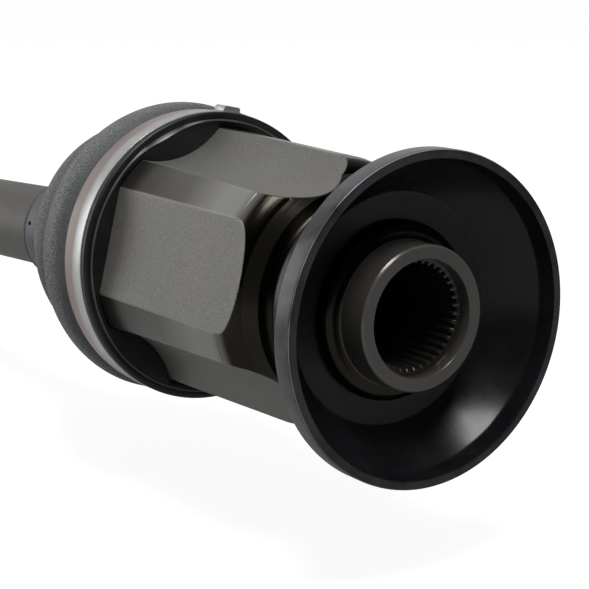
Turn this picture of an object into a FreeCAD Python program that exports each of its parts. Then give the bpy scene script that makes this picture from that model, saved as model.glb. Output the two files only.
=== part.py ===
import FreeCAD, Part
import math
import os

import Sketcher

# A half shaft: a plunging tripod joint with a splined sleeve and a bell shield, an axle bar,
# and a fixed ball joint with a splined stub. Millimetres. X runs from the sleeve's front face
# along the tripod housing towards the outer joint, Z is up. The bar and the outer joint droop
# about the tripod's centre, as the shaft hangs in use.

os.makedirs("parts", exist_ok=True)
doc = FreeCAD.newDocument("HalfShaft")
sheet = doc.addObject("Spreadsheet::Sheet", "Sizes")

# Clearances
slip = 0.05  # radial clearance of a press fit, a splined fit or a bearing
gap = 0.3  # clearance between soft pieces, and of rings in their grooves
tilt_gap = 1.1  # gap between boot lengths that tilt against each other
track_play = 0.9  # side play of a tripod roller in its track
groove_play = 1.5  # side play of a ball in its grooves
cage_play = 0.3  # clearance of the ball cage on both races

# Splined sleeve, shoulder and neck of the tripod housing
sleeve_radius = 21.9  # outside of the sleeve, where the seal runs
sleeve_length = 10.8  # from the sleeve's face to the shoulder
sleeve_chamfer = 0.6  # chamfer on the sleeve's front edge
pilot_radius = 17.6  # plain pilot bore in the sleeve
pilot_length = 4.5  # length of the pilot bore
spline_tip = 15.6  # inner radius of the sleeve's spline teeth
spline_depth = 1.2  # height of the sleeve's spline teeth
spline_count = 40  # teeth in the sleeve
spline_length = 40.0  # length of the splined bore behind the pilot
root_narrowing = 0.7  # width of a tooth space at its root, by its mouth
shoulder_radius = 27.3  # rounded shoulder that the shield sits on
shoulder_round = 3.4  # rounding of that shoulder's front edge
flange_start = 16.4  # front face of the flange behind the shield
flange_radius = 36.0  # outside of the flange behind the shield
flange_width = 11.6  # width of that flange
flange_round = 4.5  # rounding of the flange's rear edge
neck_radius = 30.0  # turned neck between flange and tulip
neck_end = 34.0  # where the neck starts to rise into the tulip
neck_round = 5.0  # hollow rounding at the neck's end

# Tulip of the tripod housing
tulip_start = 45.0  # where the tulip's rounded shoulder ends
tulip_radius = 44.6  # outer radius of the three lobes under the boot's adapter
tulip_draft = 1.5  # taper of lobes, flats and hollows towards the shoulder, in degrees
tulip_mouth = 131.0  # open end of the tulip
tulip_crown = 37.8  # radius where the neck's slope meets the rounded shoulder
crown_start = 39.0  # place where the neck's slope meets the rounded shoulder
tulip_round = 9.0  # radius of that rounding
lobe_flat = 40.8  # distance of a lobe's flat from the axis, at the adapter
lobe_turn = 13.7  # angle of the first lobe from Y towards Z
valley_radius = 29.6  # radius of the hollow between two lobes, at the adapter
valley_depth = 37.2  # distance of that hollow's floor from the axis
cavity_floor = 58.0  # closed end of the tulip's cavity
cavity_radius = 24.0  # central bore of the tulip's cavity
track_floor = 34.2  # distance of a roller track's floor from the axis
mouth_chamfer = 4.0  # chamfer of the central bore at the mouth
plug_wall = 1.6  # wall of the cup that closes the splined bore
plug_depth = 7.0  # depth of that cup
stop_ring_place = 126.5  # place of the ring that keeps the rollers in
stop_ring_width = 1.8  # width of that ring
stop_ring_inner = 26.8  # inner radius of that ring
stop_ring_outer = 30.4  # outer radius of that ring
stop_ring_mouth = 12.0  # radius inside which its groove's cut starts

# Bell shield
rim_front = -4.2  # front edge of the shield's rim
rim_radius = 50.0  # outer radius of the rim
rim_wall = 2.9  # thickness of the rolled rim
rim_width = 7.4  # width of the rolled rim
shield_wall = 1.2  # sheet of the shield
shield_bend = 35.65  # radius where the cone meets the flat annulus
shield_lean = 0.6  # how much wider the cone is on its rear side
rim_round = 0.8  # rounding of the rim's outer edges

# Tripod
tripod_centre = 98.0  # centre of the tripod in the housing
droop = 3.0  # fall of the bar about the tripod's centre, in degrees
roller_pitch = 24.5  # distance of a roller's centre from the axle
roller_radius = 14.0  # radius of a roller
roller_width = 11.4  # width of a roller
trunnion_radius = 8.4  # radius of a trunnion
trunnion_reach = 31.7  # end of a trunnion, from the axle
trunnion_foot = 2.1  # depth of the hub left between trunnion and bar
needle_size = 2.4  # thickness of the needle bearing in a roller
keeper_wall = 1.0  # thickness of the ring that keeps a roller on
keeper_radius = 10.2  # outer radius of that ring
hub_radius = 18.3  # outer radius of the spider's hub
hub_width = 20.0  # width of the spider's hub

# Axle bar
bar_radius = 16.0  # radius of the bar between the boots
bar_spline = 13.9  # radius of the bar's splined ends
bar_neck = 12.2  # radius of the bar's necks beside the joints
bar_tail = 3.4  # length of the bar beyond each hub
neck_reach_inner = 62.0  # length of the inner neck from its centre
neck_reach_outer = 48.0  # length of the outer neck from its centre
neck_taper = 14.0  # length of the taper from each neck to the bar
clip_wall = 1.6  # thickness of a circlip
clip_depth = 1.1  # depth of a circlip's groove
clip_height = 1.6  # height of a circlip above the bar
bar_edge = 0.8  # chamfer on the bar's and the trunnions' ends
spline_runout = 1.6  # slope and land at the end of the bar's spline

# Boot on the tripod joint, with its adapter and clamps
adapter_start = 115.6  # front edge of the rubber adapter
adapter_lip = 2.6  # width of the adapter's front lip
adapter_wall = 2.0  # rubber between the lobes and the boot's cuff
adapter_lip_height = 3.4  # height of the adapter's front lip above the cuff's seat
boot_wall = 2.4  # wall of a boot
cuff_end = 133.0  # end of the inner boot's wide cuff
band_wall = 0.9  # thickness of a clamp band
band_width = 11.9  # width of the inner boot's wide clamp
fold_1_height = 4.7  # height of the first fold above the cuff's seat
fold_1_place = 142.0  # place of the first fold's crest
fold_2_crest = 43.0  # radius of the second fold
fold_2_place = 166.0  # place of the second fold's crest
fold_3_crest = 33.5  # radius of the third fold
fold_3_place = 187.5  # place of the third fold's crest
fold_crown = 5.0  # width of a fold's rounded crest
fold_bend = 3.5  # radius of that crest's rounding
fold_foot_1 = 38.0  # foot between the first and second fold
fold_foot_2 = 30.0  # foot between the second and third fold
foot_1_place = 154.0  # place of the foot between folds one and two
foot_2_place = 177.0  # place of the foot between folds two and three
collar_start = 212.0  # where the inner boot meets its collar
collar_end = 227.0  # small end of the inner boot
collar_wall = 4.0  # wall of a boot's collar on the bar
clamp_seat = 1.0  # depth of the groove under a small clamp
small_band_width = 10.0  # width of a small clamp
collar_lip = 1.5  # width of the collar's lip beside the small clamp

# Ear of the wide clamp
ear_turn = 103.0  # angle of the clamp's ear from Y towards Z
ear_width = 9.5  # length of the ear around the band
ear_height = 2.2  # height of the ear above the band
ear_length = 8.4  # length of the ear along the axle
ear_crown = 6.7  # length of the ear's flat top around the band

# Ball joint
ball_centre = 450.0  # centre of the ball joint along the bar
ball_radius = 9.5  # radius of a ball
ball_pitch = 32.0  # distance of a ball's centre from the joint's centre
ball_count = 6  # number of balls
race_radius = 29.4  # spherical outside of the inner race
race_width = 24.0  # width of the inner race
cage_wall = 4.7  # wall of the cage
cage_width = 25.0  # width of the cage
window_length = 20.6  # length of a window around the cage
mouth_reach = 17.0  # mouth of the outer race from the joint's centre
bell_radius = 49.0  # outside of the outer race
bell_reach = 15.0  # where the outer race starts to narrow
bell_mouth = 3.0  # chamfer at the outer race's mouth
groove_start = 90.0  # angle of a ball groove towards the mouth
groove_end = 40.0  # angle of a ball groove beyond the centre
seat_radius = 31.0  # radius of the shoulder that meets the hub
seat_place = 46.0  # shoulder that meets the hub, from the joint's centre
seat_collar = 6.0  # width of that shoulder
stub_pilot = 17.0  # plain pilot on the stub
stub_pilot_length = 9.0  # length of that pilot
stub_spline = 15.6  # outer radius of the stub's spline
stub_spline_length = 36.0  # length of the stub's spline
stub_teeth = 30  # teeth on the stub
stub_depth = 1.4  # height of the stub's teeth
stub_space_root = 0.98  # width of a tooth space on the stub, at its root
stub_space_top = 2.12  # width of that space above the teeth
stub_neck = 10.6  # undercut before the stub's threaded end
stub_neck_width = 3.0  # width of that undercut
stub_end_radius = 12.0  # radius of the stub's threaded end
stub_end_length = 22.0  # length of the stub's threaded end
stub_chamfer = 1.6  # chamfer on the stub's end

# Boot on the ball joint
outer_cuff_width = 13.0  # width of the outer boot's cuff on the race
outer_cuff_lip = 3.0  # part of that cuff beyond the race's mouth
outer_band_width = 9.0  # width of the outer boot's wide clamp
outer_foot_0 = 46.5  # foot beside the outer boot's cuff
outer_fold_1_crest = 49.5  # radius of the outer boot's first fold
outer_foot_1 = 40.0  # foot between its first and second fold
outer_fold_2_crest = 43.5  # radius of its second fold
outer_foot_2 = 32.0  # foot between its second and third fold
outer_fold_3_crest = 35.5  # radius of its third fold
outer_fold_pitch = 19.0  # length of one fold of the outer boot
outer_collar_length = 26.0  # length of its collar on the bar


class Size:
    """A length or an angle: its number, and the expression that ties it to the sheet."""

    def __init__(self, number, text):
        self.number = number
        self.text = text

    def __add__(self, other):
        return join_sizes(self, "+", other)

    def __radd__(self, other):
        return join_sizes(other, "+", self)

    def __sub__(self, other):
        return join_sizes(self, "-", other)

    def __rsub__(self, other):
        return join_sizes(other, "-", self)

    def __mul__(self, other):
        return join_sizes(self, "*", other)

    def __rmul__(self, other):
        return join_sizes(other, "*", self)

    def __truediv__(self, other):
        return join_sizes(self, "/", other)

    def __rtruediv__(self, other):
        return join_sizes(other, "/", self)

    def __neg__(self):
        return join_sizes(0, "-", self)


def join_sizes(first, sign, second):
    """Combine two sizes, or a size and a number, and keep both the number and the expression."""
    left = first if isinstance(first, Size) else Size(first, str(first))
    right = second if isinstance(second, Size) else Size(second, str(second))
    results = {
        "+": left.number + right.number,
        "-": left.number - right.number,
        "*": left.number * right.number,
    }
    number = results[sign] if sign in results else left.number / right.number
    return Size(number, "(" + left.text + " " + sign + " " + right.text + ")")


def cosine(angle):
    return Size(math.cos(math.radians(angle.number)), "cos(" + angle.text + ")")


def sine(angle):
    return Size(math.sin(math.radians(angle.number)), "sin(" + angle.text + ")")


def root(size):
    return Size(math.sqrt(size.number), "sqrt(" + size.text + ")")


# Each number above goes into the sheet under its own name. From here on that name stands for
# its cell, so that whatever is worked out from it follows the sheet
driving = [name for name, value in globals().items() if type(value) in (int, float)]
for row, name in enumerate(driving, 1):
    number = globals()[name]
    sheet.set("A" + str(row), name)
    sheet.set("B" + str(row), str(number))
    sheet.setAlias("B" + str(row), name)
    globals()[name] = Size(number, "Sizes." + name)
doc.recompute()


def new_body(label):
    body = doc.addObject("PartDesign::Body", label)
    body.Label = label
    return body


def origin_feature(body, role):
    return [feature for feature in body.Origin.OriginFeatures if feature.Role == role][0]


def sketch_on(body, role, offset=None, turn=None, along=None, tilt=None):
    """Attach a sketch to one of the body's own planes, shifted along its normal and turned in
    the plane, or shifted along X and tilted about X."""
    sketch = body.newObject("Sketcher::SketchObject", "Sketch")
    sketch.AttachmentSupport = (origin_feature(body, role), [""])
    sketch.MapMode = "FlatFace"
    if turn is not None or tilt is not None:
        axis = FreeCAD.Vector(0, 0, 1) if turn is not None else FreeCAD.Vector(1, 0, 0)
        angle = turn if turn is not None else tilt
        base = FreeCAD.Vector(0, 0, 0)
        sketch.AttachmentOffset = FreeCAD.Placement(base, FreeCAD.Rotation(axis, angle.number))
        sketch.setExpression("AttachmentOffset.Rotation.Angle", angle.text)
    if offset is not None:
        sketch.setExpression("AttachmentOffset.Base.z", offset.text)
    if along is not None:
        sketch.setExpression("AttachmentOffset.Base.x", along.text)
    return sketch


def as_size(value):
    return value if isinstance(value, Size) else Size(value, str(value))


def hold(sketch, kind, places, size):
    """Add one dimension to a sketch and tie it to the sheet."""
    index = sketch.addConstraint(Sketcher.Constraint(kind, *places, size.number))
    sketch.setExpression("Constraints[" + str(index) + "]", size.text)


def arc_between(start, end, bend):
    """An arc of the given radius from start to end, to the left where bend is positive."""
    chord = end - start
    middle = (start + end) * 0.5
    rise = math.sqrt(max(bend * bend - (chord.Length / 2) ** 2, 0))
    left = FreeCAD.Vector(-chord.y, chord.x, 0).normalize()
    centre = middle + left * math.copysign(rise, bend)
    outward = (middle - centre)
    if outward.Length < 1e-9:
        outward = left * -math.copysign(1, bend)
    through = centre + outward.normalize() * abs(bend)
    return Part.Arc(start, through, end)


def draw_outline(sketch, corners):
    """Draw a closed outline. A corner is (x, y), or (x, y, radius) where an arc leads to it:
    a positive radius turns left. Every corner's place and every radius is a dimension."""
    sizes = [tuple(as_size(value) for value in corner) for corner in corners]
    points = [FreeCAD.Vector(size[0].number, size[1].number, 0) for size in sizes]
    for index, size in enumerate(sizes):
        start = points[index - 1]
        if len(size) == 3:
            sketch.addGeometry(arc_between(start, points[index], size[2].number), False)
        else:
            sketch.addGeometry(Part.LineSegment(start, points[index]), False)
    ends = []
    for index, size in enumerate(sizes):
        clockwise = len(size) == 3 and size[2].number < 0
        ends.append((2, 1) if clockwise else (1, 2))
    for index, size in enumerate(sizes):
        following = (index + 1) % len(sizes)
        joint = (index, ends[index][1], following, ends[following][0])
        sketch.addConstraint(Sketcher.Constraint("Coincident", *joint))
        hold(sketch, "DistanceX", (index, ends[index][1]), size[0])
        hold(sketch, "DistanceY", (index, ends[index][1]), size[1])
        if len(size) == 3:
            radius = size[2] if size[2].number > 0 else -size[2]
            hold(sketch, "Radius", (index,), radius)


def draw_circle(sketch, across, up, radius):
    across, up = as_size(across), as_size(up)
    centre = FreeCAD.Vector(across.number, up.number, 0)
    circle = Part.Circle(centre, FreeCAD.Vector(0, 0, 1), radius.number)
    index = sketch.addGeometry(circle, False)
    hold(sketch, "DistanceX", (index, 3), across)
    hold(sketch, "DistanceY", (index, 3), up)
    hold(sketch, "Radius", (index,), radius)


def turned(body, corners, kind="Revolution", axis="H_Axis", **place):
    """Revolve an outline about the sketch's own axis, as a solid or as a cut."""
    sketch = sketch_on(body, place.pop("role", "XZ_Plane"), **place)
    draw_outline(sketch, corners)
    return revolved(body, sketch, kind, axis)


def revolved(body, sketch, kind="Revolution", axis="H_Axis"):
    feature = body.newObject("PartDesign::" + kind, kind)
    feature.Profile = sketch
    feature.ReferenceAxis = (sketch, [axis])
    feature.Angle = 360
    sketch.Visibility = False
    doc.recompute()
    return feature


def pocketed(body, sketch, depth, reversed_way=False, taper=None):
    """Cut a sketch into the body. A taper makes the cut narrower towards its end."""
    pocket = body.newObject("PartDesign::Pocket", "Pocket")
    pocket.Profile = sketch
    pocket.setExpression("Length", depth.text)
    pocket.Reversed = reversed_way
    if taper is not None:
        pocket.setExpression("TaperAngle", (-taper).text)
    doc.recompute()
    return pocket


def padded(body, sketch, length, taper=None):
    """Raise a sketch into the body. A taper makes the pad narrower towards its end."""
    pad = body.newObject("PartDesign::Pad", "Pad")
    pad.Profile = sketch
    pad.setExpression("Length", length.text)
    if taper is not None:
        pad.setExpression("TaperAngle", (-taper).text)
    doc.recompute()
    return pad


def around(body, feature, count, angle=None):
    """Repeat a feature about the body's X axis, over a full turn or over the given angle."""
    pattern = body.newObject("PartDesign::PolarPattern", "PolarPattern")
    pattern.Originals = [feature]
    pattern.Axis = (origin_feature(body, "X_Axis"), [""])
    pattern.Angle = 360
    if angle is not None:
        pattern.setExpression("Angle", angle.text)
    if isinstance(count, Size):
        pattern.setExpression("Occurrences", count.text)
    else:
        pattern.Occurrences = count
    body.Tip = pattern
    doc.recompute()
    return pattern


def drooped(piece, share=1):
    """Turn a piece with the bar, about the tripod's centre. A boot's folds take a share."""
    angle = droop * share
    turn = FreeCAD.Rotation(FreeCAD.Vector(0, 1, 0), angle.number)
    piece.Placement = FreeCAD.Placement(FreeCAD.Vector(0, 0, 0), turn)
    piece.setExpression("Placement.Base.x", (tripod_centre * (1 - cosine(angle))).text)
    piece.setExpression("Placement.Base.z", (tripod_centre * sine(angle)).text)
    piece.setExpression("Placement.Rotation.Angle", angle.text)
    return piece


def ring(label, start, end, inner, outer):
    """A plain ring about X."""
    body = new_body(label)
    turned(body, [(start, inner), (end, inner), (end, outer), (start, outer)])
    return body


LOBES = 3
pieces = []


# Tripod housing: sleeve, shoulder, neck and tulip in one forging
housing = new_body("inner_housing")
flange_end = flange_start + flange_width
spline_end = pilot_length + spline_length
spline_root = spline_tip + spline_depth
rise_end = neck_radius + neck_round
draft_slope = sine(tulip_draft) / cosine(tulip_draft)
draft_rise = draft_slope * (adapter_start - flange_end)
turned(housing, [
    (0, pilot_radius),
    (0, sleeve_radius - sleeve_chamfer),
    (sleeve_chamfer, sleeve_radius),
    (sleeve_length, sleeve_radius),
    (sleeve_length, shoulder_radius - shoulder_round),
    (sleeve_length + shoulder_round, shoulder_radius, -shoulder_round),
    (flange_start, shoulder_radius),
    (flange_start, flange_radius),
    (flange_end - flange_round, flange_radius),
    (flange_end, flange_radius - flange_round, -flange_round),
    (flange_end, neck_radius),
    (neck_end - neck_round, neck_radius),
    (neck_end, rise_end, neck_round),
    (crown_start, tulip_crown),
    (tulip_start, tulip_radius - draft_slope * (adapter_start - tulip_start), -tulip_round),
    (adapter_start, tulip_radius),
    (tulip_mouth, tulip_radius),
    (tulip_mouth, cavity_radius + mouth_chamfer),
    (tulip_mouth - mouth_chamfer, cavity_radius),
    (cavity_floor, cavity_radius),
    (cavity_floor, spline_root + slip),
    (spline_end, spline_root + slip),
    (spline_end, spline_tip),
    (pilot_length, spline_tip),
    (pilot_length, pilot_radius),
])

# A lobe's flat and the hollow between two lobes, both tapered, and a roller's track
flat_sketch = sketch_on(housing, "YZ_Plane", offset=flange_end, turn=lobe_turn)
draw_outline(flat_sketch, [
    (lobe_flat - draft_rise, -2 * tulip_radius),
    (3 * tulip_radius, -2 * tulip_radius),
    (3 * tulip_radius, 2 * tulip_radius),
    (lobe_flat - draft_rise, 2 * tulip_radius),
])
flat = pocketed(housing, flat_sketch, tulip_mouth, reversed_way=True, taper=tulip_draft)
around(housing, flat, LOBES)

valley_turn = lobe_turn + 180 / LOBES
valley_sketch = sketch_on(housing, "YZ_Plane", offset=flange_end, turn=valley_turn)
draw_circle(valley_sketch, valley_depth + valley_radius, 0, valley_radius + draft_rise)
valley = pocketed(housing, valley_sketch, tulip_mouth, reversed_way=True, taper=tulip_draft)
around(housing, valley, LOBES)

track_radius = roller_radius + track_play
track_rise = track_floor - roller_pitch
track_half = root(track_radius * track_radius - track_rise * track_rise)
track_sketch = sketch_on(housing, "YZ_Plane", offset=tulip_mouth, turn=lobe_turn)
draw_outline(track_sketch, [
    (roller_pitch - track_rise, -track_half),
    (track_floor, -track_half, track_radius),
    (track_floor, track_half),
    (roller_pitch - track_rise, track_half, track_radius),
])
track = pocketed(housing, track_sketch, tulip_mouth - cavity_floor)
around(housing, track, LOBES)

stop_ring_end = stop_ring_place + stop_ring_width
turned(housing, [
    (stop_ring_place - gap / 2, stop_ring_mouth),
    (stop_ring_end + gap / 2, stop_ring_mouth),
    (stop_ring_end + gap / 2, stop_ring_outer + gap),
    (stop_ring_place - gap / 2, stop_ring_outer + gap),
], kind="Groove")

# One space between two spline teeth, slightly narrower at its root, cut from the pilot inwards
tooth_angle = 180 / spline_count
space_half = spline_tip * sine(tooth_angle / 2)
spline_sketch = sketch_on(housing, "YZ_Plane", offset=spline_end)
draw_outline(spline_sketch, [
    (spline_tip - spline_depth, -space_half),
    (spline_root, -root_narrowing * space_half),
    (spline_root, root_narrowing * space_half),
    (spline_tip - spline_depth, space_half),
])
spline_space = pocketed(housing, spline_sketch, spline_length)
around(housing, spline_space, spline_count)
pieces.append(housing)

# Cup pressed into the bore behind the spline, so the grease stays in the tulip
plug = new_body("bore_plug")
turned(plug, [
    (spline_end + gap, 0),
    (spline_end + gap + plug_wall, 0),
    (spline_end + gap + plug_wall, spline_root - plug_wall),
    (spline_end + gap + plug_depth, spline_root - plug_wall),
    (spline_end + gap + plug_depth, spline_root),
    (spline_end + gap, spline_root),
])
pieces.append(plug)

# Wire ring in the tulip's mouth
pieces.append(ring(
    "roller_stop_ring", stop_ring_place, stop_ring_end, stop_ring_inner, stop_ring_outer))

# Bell shield: a rolled rim, a cone and a flat annulus pressed onto the shoulder
shield = new_body("bell_shield")
rim_inner = rim_radius - rim_wall
rim_rear = rim_front + rim_width
annulus_front = flange_start - shield_wall
turned(shield, [
    (annulus_front, shoulder_radius + slip),
    (annulus_front, shield_bend),
    (rim_rear - shield_wall, rim_inner - gap),
    (rim_front, rim_inner),
    (rim_front, rim_radius - rim_round),
    (rim_front + rim_round, rim_radius, -rim_round),
    (rim_rear - rim_round, rim_radius),
    (rim_rear, rim_radius - rim_round, -rim_round),
    (rim_rear, rim_inner + shield_lean),
    (flange_start, shield_bend + shield_lean),
    (flange_start, shoulder_radius + slip),
])
pieces.append(shield)

# Rubber adapter that fills the tulip's hollows and flats, so the boot's cuff sits on a circle
adapter = new_body("boot_adapter")
adapter_inner = tulip_radius + slip
adapter_seat = tulip_radius + adapter_wall
adapter_radius = adapter_seat + adapter_lip_height
turned(adapter, [
    (adapter_start, adapter_inner),
    (adapter_start, adapter_radius),
    (adapter_start + adapter_lip, adapter_radius),
    (adapter_start + adapter_lip, adapter_seat),
    (tulip_mouth, adapter_seat),
    (tulip_mouth, adapter_inner),
])
adapter_length = tulip_mouth - adapter_start
fill_radius = (adapter_inner + adapter_seat) / 2
fill_valley = valley_radius - slip
fill_centre = valley_depth + valley_radius
fill_rise = (fill_centre * fill_centre + fill_radius * fill_radius - fill_valley * fill_valley)
fill_place = fill_rise / (2 * fill_centre)
fill_half = root(fill_radius * fill_radius - fill_place * fill_place)
valley_fill = sketch_on(adapter, "YZ_Plane", offset=adapter_start, turn=valley_turn)
draw_outline(valley_fill, [
    (fill_place, -fill_half, fill_valley),
    (fill_place, fill_half, fill_radius),
])
around(adapter, padded(adapter, valley_fill, adapter_length, tulip_draft), LOBES)

flat_place = lobe_flat + slip
flat_half = root(fill_radius * fill_radius - flat_place * flat_place)
flat_fill = sketch_on(adapter, "YZ_Plane", offset=adapter_start, turn=lobe_turn)
draw_outline(flat_fill, [
    (flat_place, -flat_half),
    (flat_place, flat_half, fill_radius),
])
around(adapter, padded(adapter, flat_fill, adapter_length, tulip_draft), LOBES)
pieces.append(adapter)

# Wide cuff of the inner boot, on the adapter, and its clamp with a crimped ear
cuff_start = adapter_start + adapter_lip + gap
cuff_inner = adapter_seat + slip
cuff_outer = cuff_inner + boot_wall
pieces.append(ring("inner_boot_cuff", cuff_start, cuff_end, cuff_inner, cuff_outer))

large_clamp = new_body("inner_large_clamp")
band_start = cuff_start + gap
band_inner = cuff_outer + slip
band_outer = band_inner + band_wall
turned(large_clamp, [
    (band_start, band_inner),
    (band_start + band_width, band_inner),
    (band_start + band_width, band_outer),
    (band_start, band_outer),
])
ear_start = band_start + (band_width - ear_length) / 2
ear_sketch = sketch_on(large_clamp, "YZ_Plane", offset=ear_start, turn=ear_turn)
ear_base = band_outer - band_wall / 2
draw_outline(ear_sketch, [
    (ear_base, -ear_width / 2),
    (band_outer + ear_height, -ear_crown / 2),
    (band_outer + ear_height, ear_crown / 2),
    (ear_base, ear_width / 2),
])
padded(large_clamp, ear_sketch, ear_length)
pieces.append(large_clamp)


def fold_corners(start, start_foot, crest, crest_radius, end, end_foot):
    """The outline of one boot fold: up over a rounded crest and back along its inside."""
    half = fold_crown / 2
    return [
        (start, start_foot),
        (crest - half, crest_radius),
        (crest + half, crest_radius, -fold_bend),
        (end, end_foot),
        (end, end_foot - boot_wall),
        (crest + half, crest_radius - boot_wall),
        (crest - half, crest_radius - boot_wall, fold_bend),
        (start, start_foot - boot_wall),
    ]


def boot_fold(label, share, *shape):
    fold = new_body(label)
    turned(fold, fold_corners(*shape))
    pieces.append(drooped(fold, share))


# Folds of the inner boot. Each turns with its share of the joint's angle
boot_fold("inner_boot_fold_1", 1 / 3, cuff_end + tilt_gap, adapter_seat, fold_1_place,
          adapter_seat + fold_1_height, foot_1_place, fold_foot_1)
boot_fold("inner_boot_fold_2", 2 / 3, foot_1_place + tilt_gap, fold_foot_1, fold_2_place,
          fold_2_crest, foot_2_place, fold_foot_2)

# Last fold and collar of a boot, with a groove for the small clamp, and the clamp itself
collar_outer = bar_radius + collar_wall
collar_seat = collar_outer - clamp_seat


def boot_collar(label, clamp_label, way, fold_end, foot, crest, crest_radius, root_place, tip):
    """way is 1 where the collar's small end points along X, and -1 where it points back."""
    collar = new_body(label)
    half = fold_crown / 2 * way
    bend = fold_bend * way
    seat_end = tip - way * collar_lip
    seat_start = seat_end - way * (small_band_width + 2 * gap)
    turned(collar, [
        (fold_end, foot),
        (crest - half, crest_radius),
        (crest + half, crest_radius, -bend),
        (root_place, collar_outer),
        (seat_start, collar_outer),
        (seat_start, collar_seat),
        (seat_end, collar_seat),
        (seat_end, collar_outer),
        (tip, collar_outer),
        (tip, bar_radius + slip),
        (root_place, bar_radius + slip),
        (crest + half, crest_radius - boot_wall),
        (crest - half, crest_radius - boot_wall, bend),
        (fold_end, foot - boot_wall),
    ])
    pieces.append(drooped(collar))
    clamp = new_body(clamp_label)
    clamp_start = seat_start + way * gap
    clamp_end = seat_end - way * gap
    turned(clamp, [
        (clamp_start, collar_seat + slip),
        (clamp_end, collar_seat + slip),
        (clamp_end, collar_seat + slip + band_wall),
        (clamp_start, collar_seat + slip + band_wall),
    ])
    pieces.append(drooped(clamp))


boot_collar("inner_boot_collar", "inner_small_clamp", 1, foot_2_place + tilt_gap, fold_foot_2,
            fold_3_place, fold_3_crest, collar_start, collar_end)

# Axle bar: splined ends with circlip grooves, necks beside the joints, full radius between
bar = new_body("axle_bar")
inner_hub_face = tripod_centre - hub_width / 2
inner_hub_back = tripod_centre + hub_width / 2
race_face = ball_centre - race_width / 2
race_back = ball_centre + race_width / 2
clip_floor = bar_spline - clip_depth
turned(bar, [
    (inner_hub_face - bar_tail, 0),
    (inner_hub_face - bar_tail, bar_spline - bar_edge),
    (inner_hub_face - bar_tail + bar_edge, bar_spline),
    (inner_hub_face - clip_wall - 2 * slip, bar_spline),
    (inner_hub_face - clip_wall - 2 * slip, clip_floor),
    (inner_hub_face, clip_floor),
    (inner_hub_face, bar_spline),
    (inner_hub_back + spline_runout, bar_spline),
    (inner_hub_back + 2 * spline_runout, bar_neck),
    (tripod_centre + neck_reach_inner, bar_neck),
    (tripod_centre + neck_reach_inner + neck_taper, bar_radius),
    (ball_centre - neck_reach_outer - neck_taper, bar_radius),
    (ball_centre - neck_reach_outer, bar_neck),
    (race_face - 2 * spline_runout, bar_neck),
    (race_face - spline_runout, bar_spline),
    (race_back, bar_spline),
    (race_back, clip_floor),
    (race_back + clip_wall + 2 * slip, clip_floor),
    (race_back + clip_wall + 2 * slip, bar_spline),
    (race_back + bar_tail - bar_edge, bar_spline),
    (race_back + bar_tail, bar_spline - bar_edge),
    (race_back + bar_tail, 0),
])
pieces.append(drooped(bar))
clip_outer = bar_spline + clip_height
pieces.append(drooped(ring(
    "spider_circlip", inner_hub_face - clip_wall - slip, inner_hub_face - slip,
    clip_floor + slip, clip_outer)))
pieces.append(drooped(ring(
    "race_circlip", race_back + slip, race_back + clip_wall + slip,
    clip_floor + slip, clip_outer)))

# Tripod spider: a hub with three trunnions
spider = new_body("tripod_spider")
hub_bore = bar_spline + slip
turned(spider, [
    (inner_hub_face, hub_bore),
    (inner_hub_back, hub_bore),
    (inner_hub_back, hub_radius),
    (inner_hub_face, hub_radius),
])
across_lobe = {"role": "XY_Plane", "along": tripod_centre, "tilt": lobe_turn, "axis": "V_Axis"}
trunnion_root = hub_bore + trunnion_foot
trunnion = turned(spider, [
    (0, trunnion_root),
    (trunnion_radius, trunnion_root),
    (trunnion_radius, trunnion_reach - bar_edge),
    (trunnion_radius - bar_edge, trunnion_reach),
    (0, trunnion_reach),
], **across_lobe)
around(spider, trunnion, LOBES)
pieces.append(drooped(spider))

# Needle bearings inside the rollers, and the rings that keep the rollers on the trunnions
needles = new_body("needle_bearings")
needle_inner = trunnion_radius + slip
needle_outer = needle_inner + needle_size
needle_bearing = turned(needles, [
    (needle_inner, roller_pitch - roller_width / 2),
    (needle_outer, roller_pitch - roller_width / 2),
    (needle_outer, roller_pitch + roller_width / 2),
    (needle_inner, roller_pitch + roller_width / 2),
], **across_lobe)
around(needles, needle_bearing, LOBES)
pieces.append(drooped(needles))

keepers = new_body("roller_keepers")
keeper_start = roller_pitch + roller_width / 2 + 2 * slip
keeper = turned(keepers, [
    (needle_inner, keeper_start),
    (keeper_radius, keeper_start),
    (keeper_radius, keeper_start + keeper_wall),
    (needle_inner, keeper_start + keeper_wall),
], **across_lobe)
around(keepers, keeper, LOBES)
pieces.append(drooped(keepers))

# Three crowned rollers
roller_half = root(roller_radius * roller_radius - roller_width * roller_width / 4)
for index in range(LOBES):
    roller = new_body("tripod_roller_" + str(index + 1))
    place = dict(across_lobe)
    place["tilt"] = lobe_turn + 360 / LOBES * index
    turned(roller, [
        (needle_outer + slip, roller_pitch - roller_width / 2),
        (roller_half, roller_pitch - roller_width / 2),
        (roller_half, roller_pitch + roller_width / 2, roller_radius),
        (needle_outer + slip, roller_pitch + roller_width / 2),
    ], **place)
    pieces.append(drooped(roller))

# Inner race: a sphere with six concentric grooves
inner_race = new_body("inner_race")
race_half = race_width / 2
race_edge = root(race_radius * race_radius - race_half * race_half)
turned(inner_race, [
    (race_face, hub_bore),
    (race_back, hub_bore),
    (race_back, race_edge),
    (race_face, race_edge, race_radius),
])
groove_radius = ball_radius + groove_play


def groove_circle(body):
    """A circle on the plane through the joint's centre. Turned about that plane's own axis, it
    sweeps a ball groove."""
    sketch = sketch_on(body, "YZ_Plane", offset=ball_centre)
    draw_circle(sketch, 0, ball_pitch, groove_radius)
    return sketch


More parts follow.
